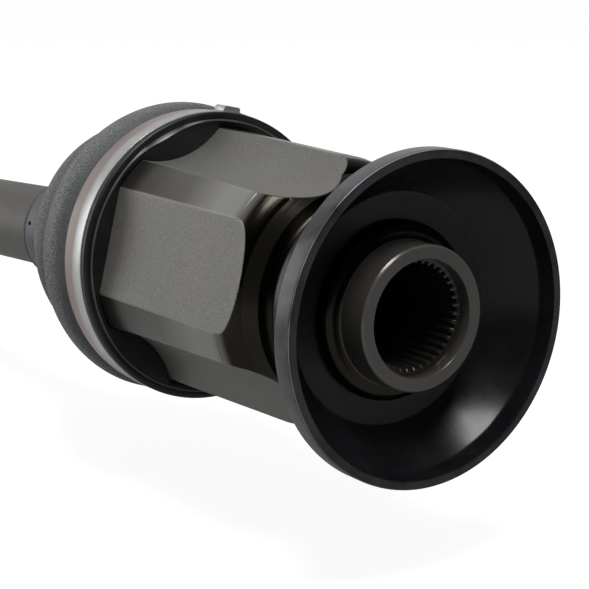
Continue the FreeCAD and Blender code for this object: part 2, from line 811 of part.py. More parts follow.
full_groove = revolved(inner_race, groove_circle(inner_race), "Groove")
half_count = ball_count / 2
around(inner_race, full_groove, half_count, angle=360 / ball_count * (half_count - 1))
pieces.append(drooped(inner_race))

# Ball cage: part of a sphere with six windows
cage = new_body("ball_cage")
cage_inner = race_radius + cage_play
cage_outer = cage_inner + cage_wall
cage_half = cage_width / 2
turned(cage, [
    (ball_centre - cage_half, root(cage_inner * cage_inner - cage_half * cage_half)),
    (ball_centre + cage_half, root(cage_inner * cage_inner - cage_half * cage_half), -cage_inner),
    (ball_centre + cage_half, root(cage_outer * cage_outer - cage_half * cage_half)),
    (ball_centre - cage_half, root(cage_outer * cage_outer - cage_half * cage_half), cage_outer),
])
window = sketch_on(cage, "XY_Plane")
window_half = ball_radius + slip
draw_outline(window, [
    (ball_centre - window_half, -window_length / 2),
    (ball_centre + window_half, -window_length / 2),
    (ball_centre + window_half, window_length / 2),
    (ball_centre - window_half, window_length / 2),
])
around(cage, pocketed(cage, window, 2 * cage_outer), ball_count)
pieces.append(drooped(cage))

# Six balls
balls = doc.addObject("Part::Compound", "joint_balls")
ball_list = []
for index in range(int(ball_count.number)):
    ball = doc.addObject("Part::Sphere", "Ball")
    ball.setExpression("Radius", ball_radius.text)
    ball_turn = 360 / ball_count * index
    ball.setExpression("Placement.Base.x", ball_centre.text)
    ball.setExpression("Placement.Base.y", (ball_pitch * sine(ball_turn)).text)
    ball.setExpression("Placement.Base.z", (ball_pitch * cosine(ball_turn)).text)
    ball_list.append(ball)
balls.Links = ball_list
pieces.append(drooped(balls))

# Outer race: the bell with its spherical cavity, the shoulder that meets the hub, and the stub
outer_race = new_body("outer_race")
cavity = cage_outer + cage_play
mouth = ball_centre - mouth_reach
throat = mouth_reach - bell_mouth
throat_radius = root(cavity * cavity - throat * throat)
seat = ball_centre + seat_place
spline_start = seat + stub_pilot_length
spline_stop = spline_start + stub_spline_length
neck_stop = spline_stop + stub_neck_width
stub_end = neck_stop + stub_end_length
turned(outer_race, [
    (mouth, throat_radius + bell_mouth),
    (mouth, bell_radius),
    (ball_centre + bell_reach, bell_radius),
    (seat - seat_collar, seat_radius),
    (seat, seat_radius),
    (seat, stub_pilot),
    (spline_start, stub_pilot),
    (spline_start, stub_spline),
    (spline_stop, stub_spline),
    (spline_stop, stub_neck),
    (neck_stop, stub_neck),
    (neck_stop, stub_end_radius),
    (stub_end - stub_chamfer, stub_end_radius),
    (stub_end, stub_end_radius - stub_chamfer),
    (stub_end, 0),
    (ball_centre + cavity, 0),
    (ball_centre - throat, throat_radius, cavity),
])
sweeps = []
for reach, reversed_way in ((groove_start, True), (groove_end, False)):
    sweep = revolved(outer_race, groove_circle(outer_race), "Groove")
    sweep.setExpression("Angle", reach.text)
    sweep.Reversed = reversed_way
    doc.recompute()
    sweeps.append(sweep)
for sweep in sweeps:
    around(outer_race, sweep, ball_count)

stub_sketch = sketch_on(outer_race, "YZ_Plane", offset=spline_stop)
draw_outline(stub_sketch, [
    (stub_spline - stub_depth, -stub_space_root / 2),
    (stub_spline + stub_depth, -stub_space_top / 2),
    (stub_spline + stub_depth, stub_space_top / 2),
    (stub_spline - stub_depth, stub_space_root / 2),
])
stub_space = pocketed(outer_race, stub_sketch, stub_spline_length - 2 * stub_depth)
around(outer_race, stub_space, stub_teeth)
pieces.append(drooped(outer_race))

# Outer boot: a cuff on the race, two folds, and the last fold with its collar
outer_cuff = new_body("outer_boot_cuff")
outer_cuff_start = mouth - outer_cuff_lip
outer_cuff_end = outer_cuff_start + outer_cuff_width
outer_cuff_inner = bell_radius + slip
outer_cuff_outer = outer_cuff_inner + boot_wall
turned(outer_cuff, [
    (outer_cuff_start, outer_foot_0 - boot_wall),
    (mouth - gap, outer_foot_0 - boot_wall),
    (mouth - gap, outer_cuff_inner),
    (outer_cuff_end, outer_cuff_inner),
    (outer_cuff_end, outer_cuff_outer),
    (mouth - gap, outer_cuff_outer),
    (outer_cuff_start, outer_foot_0),
])
pieces.append(drooped(outer_cuff))
outer_band_end = outer_cuff_end - 2 * gap
pieces.append(drooped(ring(
    "outer_large_clamp", outer_band_end - outer_band_width, outer_band_end,
    outer_cuff_outer + slip, outer_cuff_outer + slip + band_wall)))

# Each fold of the outer boot ends where the one nearer to the race starts
feet = [outer_foot_0, outer_foot_1, outer_foot_2]
crests = [outer_fold_1_crest, outer_fold_2_crest]
fold_end = outer_cuff_start
for index, crest_radius in enumerate(crests):
    fold_start = fold_end - outer_fold_pitch
    middle = fold_end - outer_fold_pitch / 2
    boot_fold("outer_boot_fold_" + str(index + 1), 1, fold_start, feet[index + 1], middle,
              crest_radius, fold_end - gap, feet[index])
    fold_end = fold_start
outer_collar_root = fold_end - outer_fold_pitch
boot_collar("outer_boot_collar", "outer_small_clamp", -1, fold_end - gap, outer_foot_2,
            fold_end - outer_fold_pitch / 2, outer_fold_3_crest,
            outer_collar_root, outer_collar_root - outer_collar_length)

doc.recompute()
for item in doc.Objects:
    if "Invalid" in item.State or "Error" in item.State:
        raise RuntimeError(item.Label + " did not build: " + str(item.State))
for piece in pieces:
    if piece.Shape.isNull() or not piece.Shape.isValid():
        raise RuntimeError(piece.Label + " has no valid shape")
for piece in pieces:
    piece.Shape.exportStep(os.path.join("parts", piece.Label + ".step"))
    print(piece.Label, len(piece.Shape.Solids), round(piece.Shape.Volume, 1))
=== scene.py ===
import math

import bpy
import numpy as np
from mathutils import Matrix, Vector


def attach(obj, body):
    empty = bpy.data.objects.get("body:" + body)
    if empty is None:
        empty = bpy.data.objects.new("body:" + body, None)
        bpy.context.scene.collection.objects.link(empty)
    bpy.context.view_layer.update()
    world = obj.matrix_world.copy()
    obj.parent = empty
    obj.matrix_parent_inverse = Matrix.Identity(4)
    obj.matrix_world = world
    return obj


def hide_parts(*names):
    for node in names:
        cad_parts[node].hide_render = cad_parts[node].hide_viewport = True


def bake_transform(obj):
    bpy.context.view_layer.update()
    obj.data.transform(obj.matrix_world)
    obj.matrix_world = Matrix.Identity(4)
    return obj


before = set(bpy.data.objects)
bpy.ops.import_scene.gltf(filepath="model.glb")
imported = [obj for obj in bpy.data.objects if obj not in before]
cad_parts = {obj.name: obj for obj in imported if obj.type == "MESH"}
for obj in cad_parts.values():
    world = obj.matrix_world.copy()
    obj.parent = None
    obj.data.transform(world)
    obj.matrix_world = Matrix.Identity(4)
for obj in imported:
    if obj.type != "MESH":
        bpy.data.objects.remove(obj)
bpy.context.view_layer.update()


# Tripod housing. One steel forging: the flats and hollows of its three lobes keep their grey
# forged skin, and all else outside is turned and blackened. On the lobes the blackening is
# painted lighter, a painted reflection that is brightest near the shoulder and fades to a tenth
# towards the adapter; the sleeve and the bore are a little lighter too. The bore has forty
# teeth, and the tulip is open at its rear for three rollers.
AROUND = np.radians(np.arange(0, 360, 0.5))


def turn_piece(name, rings, marks=None, around=AROUND, closed=True, sharp=38):
    """Skin a closed tube through rings about X. A ring is (x, radius) in millimetres, and either
    may be an array around the axis. Marks are named values, one entry for each ring."""
    count = len(around)
    places = []
    for x, radius in rings:
        radius = np.broadcast_to(radius, count)
        across = np.broadcast_to(x, count)
        places.append(np.stack([across, radius * np.cos(around), radius * np.sin(around)], axis=1))
    mesh = bpy.data.meshes.new(name)
    here = np.arange(count)
    following = np.roll(here, -1)
    faces = []
    for index in range(len(rings) if closed else len(rings) - 1):
        a = index * count
        b = (index + 1) % len(rings) * count
        faces.append(np.stack([a + here, a + following, b + following, b + here], axis=1))
    mesh.from_pydata((np.concatenate(places) / 1000).tolist(), [], np.concatenate(faces).tolist())
    for mark, values in (marks or {}).items():
        stored = mesh.attributes.new(mark, "FLOAT", "POINT")
        whole = [np.broadcast_to(value, count) for value in values]
        stored.data.foreach_set("value", np.concatenate(whole).astype(np.float32))
    mesh.shade_smooth()
    mesh.set_sharp_from_angle(angle=math.radians(sharp))
    piece = bpy.data.objects.new(name, mesh)
    bpy.context.scene.collection.objects.link(piece)
    return piece


def soft_min(a, b, blend):
    """The smaller of two radii, with the edge between them rounded over."""
    share = np.clip(0.5 + 0.5 * (b - a) / blend, 0, 1)
    return b + (a - b) * share - blend * share * (1 - share)


def arc_rings(x, radius, bend, start, end, steps=5):
    """Rings along a quarter of a rounded edge, about (x, radius)."""
    turns = np.radians(np.linspace(start, end, steps))
    return [(x + bend * math.cos(t), radius + bend * math.sin(t)) for t in turns]


LOBE_TURN, DRAFT = 13.7, math.tan(math.radians(1.5))
ADAPTER_START, TULIP_RADIUS, LOBE_FLAT = 115.6, 44.6, 40.8
HOLLOW_CENTRE, HOLLOW_RADIUS = 66.8, 29.6
TRACK_CENTRE, TRACK_RADIUS, CAVITY_FLAT, CAVITY_BORE = 24.5, 14.9, 34.2, 24.0
TOOTH_TIP, TOOTH_HEIGHT, TEETH = 15.6, 1.2, 40
NECK, NECK_BEND, SHOULDER_ROUND = 30.0, 5.0, 9.0
off_lobe = np.radians((np.degrees(AROUND) - LOBE_TURN + 60) % 120 - 60)
off_hollow = np.radians((np.degrees(AROUND) - LOBE_TURN) % 120 - 60)


def turned_blank(x):
    """Outside of the housing as turned: the neck, the rounded shoulder and the tapered lobes."""
    lobe = TULIP_RADIUS - DRAFT * max(ADAPTER_START - x, 0)
    if x < 34:
        return NECK + NECK_BEND - math.sqrt(max(NECK_BEND ** 2 - max(x - 29, 0) ** 2, 0))
    if x < 39:
        return NECK + NECK_BEND + 2.8 * (x - 34) / 5
    if x < 47:
        rounded = 34.01 + math.sqrt(SHOULDER_ROUND ** 2 - (x - 47.16) ** 2)
        return float(soft_min(lobe, rounded, 1.0))
    return lobe


def forged_cuts(x):
    """Distance of the lobes' flats and of the hollows between them from the axis, all around."""
    back = DRAFT * (ADAPTER_START - x)
    flat = (LOBE_FLAT - back) / np.cos(off_lobe)
    hollow = HOLLOW_RADIUS + back
    reach = hollow ** 2 - (HOLLOW_CENTRE * np.sin(off_hollow)) ** 2
    floor = HOLLOW_CENTRE * np.cos(off_hollow) - np.sqrt(np.maximum(reach, 0))
    return flat, np.where(reach > 0, floor, 90.0)


def tulip_radius(x, rounding=0.22):
    """Outside of the tulip at a distance along the axis, with its edges rounded over."""
    flat, hollow = forged_cuts(x)
    return soft_min(soft_min(flat, turned_blank(x), rounding), hollow, 1.6 * rounding)


track_reach = TRACK_RADIUS ** 2 - (TRACK_CENTRE * np.sin(off_lobe)) ** 2
track_floor = TRACK_CENTRE * np.cos(off_lobe) + np.sqrt(np.maximum(track_reach, 0))
track = np.where(track_reach > 0, track_floor, 0)
cavity_radius = np.maximum(np.minimum(track, CAVITY_FLAT / np.cos(off_lobe)), CAVITY_BORE)
half_pitch = 180 / TEETH
tooth = np.abs((np.degrees(AROUND) % (2 * half_pitch)) - half_pitch) / half_pitch
teeth_radius = TOOTH_TIP + TOOTH_HEIGHT * np.clip((tooth - 0.3) * 2.6, 0, 1)
housing_rings = [(0.25, 17.6), (0, 17.85), (0, 18.1), (0, 21.1), (0, 21.35), (0.25, 21.65)]
housing_rings += [(0.6, 21.9), (0.9, 21.9), (10.4, 21.9)]
housing_rings += [(10.6, 22.3), (10.8, 22.9)]
housing_rings += arc_rings(14.2, 23.9, 3.4, 180, 90, 9)
housing_rings += [(16.4, 27.3), (16.4, 35.4), (16.7, 35.8), (17.1, 36)]
housing_rings += arc_rings(23.5, 31.5, 4.5, 90, 22, 8)
housing_rings += [(28.0, 32.4), (28.3, 31.6), (28.6, 31.0), (28.9, 30.6), (29.2, 30.3)]
start_count, sleeve_count = len(housing_rings), 9
housing_marks = {"turned": [1.0] * start_count, "edge": [0.0] * start_count,
                 "lobe": [0.20] * sleeve_count + [0.0] * (start_count - sleeve_count)}
# Rings of the sleeve's front edge, which get a faint painted highlight
for index in (4, 5):
    housing_marks["edge"][index] = 0.1
long_rings = [*np.arange(29.5, 36, 0.5), *np.arange(36, 48, 0.2), 50, 60, 80, 100, 115.6, 130.4]
for x in long_rings:
    flat, hollow = forged_cuts(x)
    spare = np.minimum(flat, hollow) - turned_blank(x)
    housing_rings.append((x, tulip_radius(x)))
    housing_marks["turned"].append(np.clip(0.5 + spare / 0.35, 0, 1))
    # A thin light line along the flats' ends and sides, partly a painted highlight on their rounded
    # edges and partly bright wear
    end_line = np.exp(-(spare / 0.11) ** 2) * (flat < hollow)
    housing_marks["edge"].append(end_line * (0.6 if x < 46 else 0.22))
    # Painted reflection on the lobes: full near the shoulder, fading to a tenth towards the adapter
    housing_marks["lobe"].append(float(np.interp(x, [43, 51, 62, 84], [0, 1, 0.9, 0.1])))
rear_rings = [(131, tulip_radius(131) - 0.6), (131, cavity_radius + 3.0), (128, cavity_radius)]
rear_rings += [(58, cavity_radius), (58, 16.85), (44.5, 16.85), (44.5, teeth_radius)]
rear_rings += [(5.4, teeth_radius), (4.7, 16.5), (4.5, 17.6)]
housing_rings += rear_rings
housing_marks["turned"] += [1.0] * len(rear_rings)
housing_marks["edge"] += [0.0] * len(rear_rings)
housing_marks["lobe"] += [0.08] * len(rear_rings)
housing = turn_piece("housing_forging", housing_rings, housing_marks, sharp=30)


def node_in(tree, kind, **inputs):
    """Add a shader node and set its plain inputs by name."""
    node = tree.nodes.new("ShaderNode" + kind)
    for socket, value in inputs.items():
        if isinstance(value, bpy.types.NodeSocket):
            tree.links.new(value, node.inputs[socket.replace("_", " ")])
        else:
            node.inputs[socket.replace("_", " ")].default_value = value
    return node


def new_group(name, inputs, outputs):
    group = bpy.data.node_groups.new(name, "ShaderNodeTree")
    for socket, start in inputs.items():
        made = group.interface.new_socket(socket, in_out="INPUT", socket_type="NodeSocketFloat")
        made.default_value = start
    for socket in outputs:
        group.interface.new_socket(socket, in_out="OUTPUT", socket_type="NodeSocketFloat")
    return group, group.nodes.new("NodeGroupInput"), group.nodes.new("NodeGroupOutput")


# Grain of a blasted, coated or moulded surface: fine specks over broad soft patches
grain, grain_in, grain_out = new_group(
    "surface_grain", {"Specks per metre": 2200.0, "Patches per metre": 60.0}, ["Speck", "Patch"])
place = grain.nodes.new("ShaderNodeTexCoord")
speck = node_in(grain, "TexNoise", Vector=place.outputs["Object"], Detail=2.0, Roughness=0.6)
grain.links.new(grain_in.outputs["Specks per metre"], speck.inputs["Scale"])
speck_range = node_in(grain, "MapRange", Value=speck.outputs["Fac"], From_Min=0.3, From_Max=0.7)
patch = node_in(grain, "TexNoise", Vector=place.outputs["Object"], Detail=4.0, Roughness=0.55)
grain.links.new(grain_in.outputs["Patches per metre"], patch.inputs["Scale"])
patch_range = node_in(grain, "MapRange", Value=patch.outputs["Fac"], From_Min=0.3, From_Max=0.7)
grain.links.new(speck_range.outputs["Result"], grain_out.inputs["Speck"])
grain.links.new(patch_range.outputs["Result"], grain_out.inputs["Patch"])

# Marks that a lathe tool leaves: fine rings that follow the distance along and from the axis
lathe, lathe_in, lathe_out = new_group("lathe_marks", {"Rings per metre": 2500.0}, ["Height"])
place = lathe.nodes.new("ShaderNodeTexCoord")
apart = node_in(lathe, "SeparateXYZ", Vector=place.outputs["Object"])
flat_place = node_in(lathe, "CombineXYZ", Y=apart.outputs["Y"], Z=apart.outputs["Z"])
off_axis = node_in(lathe, "VectorMath", Vector=flat_place.outputs["Vector"])
off_axis.operation = "LENGTH"
along = node_in(lathe, "Math")
lathe.links.new(apart.outputs["X"], along.inputs[0])
lathe.links.new(off_axis.outputs["Value"], along.inputs[1])
ring_noise = node_in(lathe, "TexNoise", Detail=1.0)
ring_noise.noise_dimensions = "1D"
lathe.links.new(along.outputs["Value"], ring_noise.inputs["W"])
lathe.links.new(lathe_in.outputs["Rings per metre"], ring_noise.inputs["Scale"])
lathe.links.new(ring_noise.outputs["Fac"], lathe_out.inputs["Height"])


def mark_in(tree, name):
    """The mask that a piece stored on its mesh as a named mark."""
    mark = tree.nodes.new("ShaderNodeAttribute")
    mark.attribute_name = name
    return mark.outputs["Fac"]


def maths(tree, operation, first, second):
    """Two masks put together by a named operation, and kept from 0 to 1."""
    node = tree.nodes.new("ShaderNodeMath")
    node.operation = operation
    node.use_clamp = True
    tree.links.new(first, node.inputs[0])
    tree.links.new(second, node.inputs[1])
    return node.outputs[0]


def mixed(tree, share, first, second):
    """A colour between two, by a share that varies over the surface."""
    mix = tree.nodes.new("ShaderNodeMix")
    mix.data_type = "RGBA"
    tree.links.new(share, mix.inputs[0])
    for socket, value in ((6, first), (7, second)):
        if isinstance(value, bpy.types.NodeSocket):
            tree.links.new(value, mix.inputs[socket])
        else:
            mix.inputs[socket].default_value = (*value, 1)
    return mix.outputs[2]


def spread(tree, value, low, high):
    """A value from 0 to 1 stretched to low and high."""
    return node_in(tree, "MapRange", Value=value, To_Min=low, To_Max=high).outputs["Result"]


def start_material(name, metallic=0.0, specks=2200.0, patches=60.0):
    """A material with its grain ready: the tree, the shader and the grain's two masks."""
    material = bpy.data.materials.new(name)
    material.use_nodes = True
    tree = material.node_tree
    shader = tree.nodes["Principled BSDF"]
    shader.inputs["Metallic"].default_value = metallic
    node = tree.nodes.new("ShaderNodeGroup")
    node.node_tree = grain
    node.inputs["Specks per metre"].default_value = specks
    node.inputs["Patches per metre"].default_value = patches
    return material, tree, shader, node.outputs["Speck"], node.outputs["Patch"]


def finish(tree, shader, color, roughness, height, depth):
    """Link a material's colour, roughness and bump. Depth is the bump's real height in metres."""
    tree.links.new(color, shader.inputs["Base Color"])
    tree.links.new(roughness, shader.inputs["Roughness"])
    bump = node_in(tree, "Bump", Height=height, Distance=depth)
    tree.links.new(bump.outputs["Normal"], shader.inputs["Normal"])


forged, tree, shader, speck, patch = start_material("forged_and_turned_steel", 0.35, 2600, 45)
turned_mark = mark_in(tree, "turned")
lobe_mark = mark_in(tree, "lobe")
skin = mixed(tree, speck, (0.125, 0.122, 0.110), (0.270, 0.268, 0.250))
skin = mixed(tree, patch, mixed(tree, speck, (0.115, 0.108, 0.094), (0.235, 0.228, 0.205)), skin)
lathe_node = tree.nodes.new("ShaderNodeGroup")
lathe_node.node_tree = lathe
cut = mixed(tree, patch, (0.025, 0.022, 0.018), (0.037, 0.033, 0.028))
# The lobes are painted lighter, a painted reflection; the sleeve and the bore a little lighter
cut = mixed(tree, lobe_mark, cut, (0.29, 0.285, 0.275))
whole = mixed(tree, turned_mark, skin, cut)
# Edges painted light: partly a painted highlight, partly bright wear
edge_wear_and_highlight = mixed(tree, mark_in(tree, "edge"), whole, (0.42, 0.42, 0.40))
blackened = maths(tree, "SUBTRACT", turned_mark, spread(tree, lobe_mark, 0.0, 6.0))
tree.links.new(spread(tree, blackened, 0.35, 1.0), shader.inputs["Metallic"])
roughness_mix = node_in(tree, "MapRange", Value=turned_mark, To_Min=spread(tree, patch, 0.46, 0.56),
                        To_Max=spread(tree, lobe_mark, 0.21, 0.37))
height = node_in(tree, "MapRange", Value=turned_mark, To_Min=speck,
                 To_Max=lathe_node.outputs["Height"])
finish(tree, shader, edge_wear_and_highlight, roughness_mix.outputs["Result"], height.outputs["Result"], 0.00003)
housing.data.materials.append(forged)
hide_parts("inner_housing")
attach(housing, "inner_joint")


# Bell shield. A flared pressing of black coated sheet on the shoulder, which keeps dirt off
# the gearbox seal. Its thick rim has a flat lip. The corner where lip and band meet is painted
# light as a painted highlight, and the band behind it is painted lighter grey as a painted
# reflection, broken up in scuff-like patches.
shield_rings = [(16.38, 27.37), (15.2, 27.37), (15.2, 34.9)]
shield_rings += [(15.1, 35.3), (14.8, 35.85), (2.6, 46.35), (1.9, 46.75), (1.0, 46.95)]
shield_rings += [(-3.6, 47.1), (-4.1, 47.25), (-4.2, 47.45)]
shield_rings += arc_rings(-3.65, 49.45, 0.55, 180, 90, 6)
shield_rings += arc_rings(2.4, 49.2, 0.8, 90, 0, 5)
shield_rings += [(3.2, 47.9), (3.5, 47.4), (16.2, 36.3), (16.38, 36.0)]
shield_painted_light = [0.0] * len(shield_rings)
# Rings of the lip, of its corner and of the band behind it, with their share of painted light:
# a faint one on the lip, a painted highlight on the corner and a painted reflection on the band
for index, light_share in ((10, 0.1), (11, 0.1), (13, 1.0), (14, 1.0), (16, 0.34), (17, 0.34)):
    shield_painted_light[index] = light_share
shield = turn_piece("bell_shield_pressing", shield_rings, {"edge": shield_painted_light}, sharp=40)
coated, tree, shader, speck, patch = start_material("black_coated_sheet", 0.0, 1500, 70)
scuffs = node_in(tree, "MapRange", Value=patch, From_Min=0.0, From_Max=0.7)
# Painted light on the rim, broken up by the scuff patches
rim_painted_light = maths(tree, "MULTIPLY", scuffs.outputs["Result"], mark_in(tree, "edge"))
black = mixed(tree, patch, (0.005, 0.005, 0.006), (0.010, 0.011, 0.012))
color = mixed(tree, rim_painted_light, black, (0.24, 0.24, 0.26))
shader.inputs["Specular IOR Level"].default_value = 0.3
finish(tree, shader, color, spread(tree, patch, 0.21, 0.30), speck, 0.000006)
shield.data.materials.append(coated)
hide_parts("bell_shield")
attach(shield, "inner_joint")


# Boot adapter. A moulded black rubber ring that fills the hollows and flats of the tulip, so
# that the boot's round cuff can seal on it. A thin flash of rubber is left on its front face,
# torn inwards at one place near the top. The flash's edge is painted light grey as a painted
# highlight, brightest and flickering where it is torn.
snug = tulip_radius(116.9) + 0.04
TEAR_AT = 67
from_tear = np.degrees(AROUND) - TEAR_AT
flap = -1.1 * np.exp(-(from_tear / 9) ** 2) + 0.06 * np.sin(17 * AROUND)
adapter_rings = [(116.9, snug), (116.3, np.minimum(snug + 1.4, 45.4)), (116.2, 45.5)]
adapter_rings += [(115.9, 46.85 + flap), (115.6, 46.95 + flap), (115.6, 47.3 + flap)]
adapter_rings += [(116.1, 47.6), (115.9, 48.3)]
adapter_rings += arc_rings(116.9, 48.9, 1.1, 190, 90, 7)
adapter_rings += [(117.6, 50.0), (118.1, 49.7), (118.2, 49.2), (118.2, 46.6), (131, 46.6)]
adapter_rings += [(131, tulip_radius(131) + 0.04)]
# Painted highlight along the flash's edge, strongest along the tear
flash_highlight = [0.0] * len(adapter_rings)
torn = np.exp(-((from_tear + 1) / 16) ** 2) * (0.6 + 0.4 * np.sin(23 * AROUND))
flash_highlight[4] = flash_highlight[5] = 0.14 + 0.86 * torn
adapter = turn_piece("boot_adapter_moulding", adapter_rings, {"edge": flash_highlight}, sharp=50)
black_rubber, tree, shader, speck, patch = start_material("black_rubber", 0.0, 1800, 90)
color = mixed(tree, patch, (0.006, 0.007, 0.007), (0.012, 0.014, 0.014))
# The flash's painted highlight
color = mixed(tree, mark_in(tree, "edge"), color, (0.60, 0.60, 0.57))
finish(tree, shader, color, spread(tree, patch, 0.36, 0.48), speck, 0.00002)
adapter.data.materials.append(black_rubber)
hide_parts("boot_adapter")
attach(adapter, "inner_joint")


# Wide clamp of the inner boot. A bright steel strip drawn round the cuff and crimped in an
# ear. The strip stands a little lower on its rear half, and its end lies under the ear.
band_rings = [(118.8, 49.1), (118.8, 49.8), (119.0, 49.98), (119.3, 50.0), (124.3, 50.0)]
band_rings += [(124.5, 49.9), (130.2, 49.72), (130.5, 49.6), (130.7, 49.35), (130.7, 49.1)]
rear_half = [0.0] * 5 + [1.0] * 5
wide_clamp = turn_piece("wide_clamp_band", band_rings, {"rear": rear_half}, sharp=40)


def crimped_strip(name, outline, start, end, soften=0.25):
    """Extrude a strip's section, given as (angle, radius) around X, from one X to another, with
    slightly rounded corners."""
    points = [(r * math.cos(math.radians(a)), r * math.sin(math.radians(a))) for a, r in outline]
    count = len(points)
    verts = [(x / 1000, y / 1000, z / 1000) for x in (start, end) for y, z in points]
    faces = [list(range(count)), list(range(2 * count - 1, count - 1, -1))]
    for n in range(count):
        m = (n + 1) % count
        faces.append([n, n + count, m + count, m])
    mesh = bpy.data.meshes.new(name)
    mesh.from_pydata(verts, [], faces)
    piece = bpy.data.objects.new(name, mesh)
    bpy.context.scene.collection.objects.link(piece)
    bevel = piece.modifiers.new("soften", "BEVEL")
    bevel.width = soften / 1000
    bevel.segments = 2
    bevel.angle_limit = math.radians(25)
    shown = bpy.data.meshes.new_from_object(piece.evaluated_get(
        bpy.context.evaluated_depsgraph_get()))
    piece.modifiers.clear()
    piece.data = shown
    shown.shade_smooth()
    shown.set_sharp_from_angle(angle=math.radians(35))
    return piece


ear_outline = [(98.4, 50.02), (99.0, 51.7), (99.8, 52.05), (105.4, 52.05), (106.0, 51.8)]
ear_outline += [(106.3, 50.5), (113.4, 50.45), (113.6, 50.02), (105.0, 49.9)]
ear = crimped_strip("wide_clamp_ear", ear_outline, 120.6, 127.0)
bright, tree, shader, speck, patch = start_material("bright_strip_steel", 0.85, 900, 120)
color = mixed(tree, patch, (0.50, 0.50, 0.50), (0.62, 0.62, 0.62))
color = mixed(tree, mark_in(tree, "rear"), color, (0.52, 0.43, 0.41))
finish(tree, shader, color, spread(tree, patch, 0.34, 0.42), speck, 0.000008)
for piece in (wide_clamp, ear):
    piece.data.materials.append(bright)
    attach(piece, "inner_joint")
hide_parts("inner_large_clamp")


# Inner boot. One moulding of grey rubber with three shallow folds, from the wide cuff on the
# adapter to the collar on the bar. It is cut in three, and each length bends between two bodies
# of the joint, so that the bend is shared out. The rubber has fine pale specks of bloom all
# over, and on the fold crests they are painted denser, a painted highlight.
TRIPOD_CENTRE, DROOP = 98.0, math.radians(3)


def smooth_line(points, steps=6):
    """Points of a smooth line through the given ones."""
    knots = [points[0], *points, points[-1]]
    line = []
    for a, b, c, d in zip(knots, knots[1:], knots[2:], knots[3:]):
        for t in np.arange(steps) / steps:
            line.append(tuple(
                0.5 * (2 * q + (r - p) * t + (2 * p - 5 * q + 4 * r - s) * t * t
                       + (3 * q - p - 3 * r + s) * t ** 3)
                for p, q, r, s in zip(a, b, c, d)))
    return line + [points[-1]]


def hang(piece, share_at):
    """Turn each cross-section of a piece about the tripod's centre by its share of the droop."""
    mesh = piece.data
    points = np.empty(len(mesh.vertices) * 3)
    mesh.vertices.foreach_get("co", points)
    points = points.reshape(-1, 3)
    angle = DROOP * share_at(points[:, 0] * 1000)
    ahead = points[:, 0] - TRIPOD_CENTRE / 1000
    up = points[:, 2].copy()
    points[:, 0] = TRIPOD_CENTRE / 1000 + ahead * np.cos(angle) + up * np.sin(angle)
    points[:, 2] = up * np.cos(angle) - ahead * np.sin(angle)
    mesh.vertices.foreach_set("co", points.ravel())
    mesh.update()


def inner_share(x):
    """How much of the droop the inner boot has taken up at a distance along the axis."""
    t = np.clip((x - 150) / (215 - 150), 0, 1)
    return t * t * (3 - 2 * t)


BOOT_WALL = 2.3
BOOT_AROUND = np.radians(np.arange(0, 360, 1.5))


def boot_length(name, line, wall=BOOT_WALL, floor=0.0):
    """One length of a boot, from its outside line of (x, radius, crest mark)."""
    wobble = 0.10 * np.sin(3 * BOOT_AROUND + 0.7) + 0.07 * np.sin(7 * BOOT_AROUND + 2.1)
    outside = [(x, radius + wobble * crest) for x, radius, crest in line]
    inside = [(x, max(radius - wall, floor)) for x, radius, crest in reversed(line)]
    marks = [crest for x, radius, crest in line] + [0.0] * len(line)
    return turn_piece(name, outside + inside, {"crest": marks}, BOOT_AROUND, sharp=50)


inner_line = smooth_line([
    (118.6, 49.0, 0), (124, 49.02, 0), (130.4, 49.02, 0), (131.3, 48.7, 0), (132.0, 48.1, 0),
    (133.4, 47.9, 0), (134.8, 48.4, 0), (136.2, 49.9, 0.3), (138.0, 51.0, 1.0),
    (141, 51.3, 1.0), (144.5, 50.7, 0.6), (148.5, 48.4, 0.1), (152, 45.2, 0), (155.5, 42.3, 0),
    (158.5, 41.4, 0), (161.5, 42.0, 0.3), (164.5, 43.0, 0.8), (167, 43.0, 1.0), (170, 41.3, 0.5),
    (173.5, 37.4, 0), (177, 34.0, 0), (180, 32.6, 0), (183, 32.8, 0.3), (186, 33.3, 0.8),
    (188.5, 33.2, 1.0), (191.5, 31.4, 0.6), (195, 28.4, 0.2), (199, 25.4, 0), (203, 23.0, 0),
    (207.5, 21.0, 0), (211.5, 20.1, 0), (214.2, 20.0, 0), (214.7, 19.8, 0), (215.0, 19.1, 0),
    (220, 19.0, 0), (225.2, 19.0, 0), (225.5, 19.8, 0), (226.0, 20.0, 0), (226.7, 19.9, 0),
    (227.0, 19.5, 0)], 4)
cuts = (166.0, 176.0)
wide_length = boot_length("inner_boot_wide_end", [p for p in inner_line if p[0] <= cuts[0]])
middle_length = boot_length("inner_boot_middle", [
    p for p in inner_line if cuts[0] - 0.8 < p[0] < cuts[1] + 0.8])
small_length = boot_length("inner_boot_small_end", [
    p for p in inner_line if p[0] >= cuts[1]], floor=16.05)
grey_rubber, tree, shader, speck, patch = start_material("grey_boot_rubber", 0.0, 3200, 40)
dust = node_in(tree, "MapRange", Value=speck, From_Min=0.40, From_Max=0.95)
